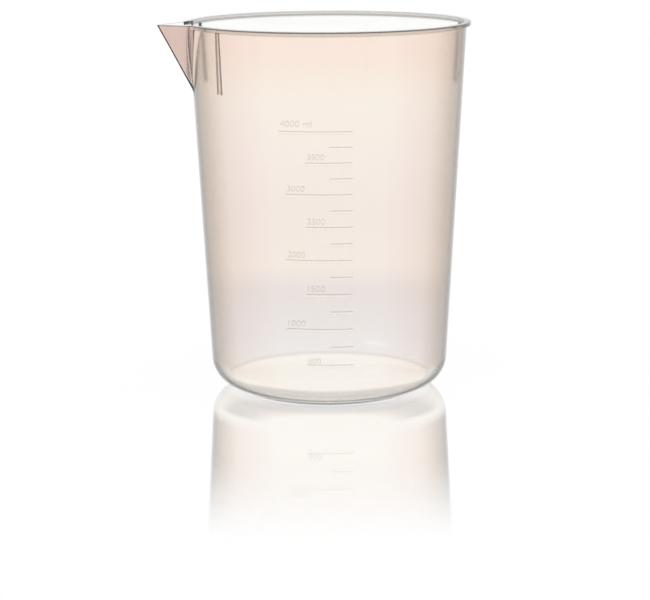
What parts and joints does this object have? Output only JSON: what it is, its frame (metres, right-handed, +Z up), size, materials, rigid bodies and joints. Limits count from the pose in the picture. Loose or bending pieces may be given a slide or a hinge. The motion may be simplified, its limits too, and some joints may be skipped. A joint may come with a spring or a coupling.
{
  "type": "plastic beaker",
  "caption": "Low-form translucent plastic beaker: tapered wall on a rounded heel, flanged rim, V-shaped pouring spout, stacking ribs inside the mouth and a raised volume scale.",
  "frame": {"origin": "centre of the flat underside, on the axis of the round wall", "axes": "+Z up along the axis, towards the open mouth; -X from the axis towards the tip of the pouring spout; -Y across the spout, towards the volume scale"},
  "size_m": [0.2136, 0.1944, 0.2505],
  "materials": {
    "body": "satin",
    "scale": "satin"
  },
  "bodies": {
    "root": {"vessel": "body", "pouring_spout": "body", "rim_flange": "body", "stacking_rib_left": "body", "stacking_rib_right": "body", "stacking_rib_back": "body", "mark_0500_ml": "scale", "mark_0750_ml": "scale", "mark_1000_ml": "scale", "mark_1250_ml": "scale", "mark_1500_ml": "scale", "mark_1750_ml": "scale", "mark_2000_ml": "scale", "mark_2250_ml": "scale", "mark_2500_ml": "scale", "mark_2750_ml": "scale", "mark_3000_ml": "scale", "mark_3250_ml": "scale", "mark_3500_ml": "scale", "mark_3750_ml": "scale", "mark_4000_ml": "scale"}
  },
  "joints": []
}
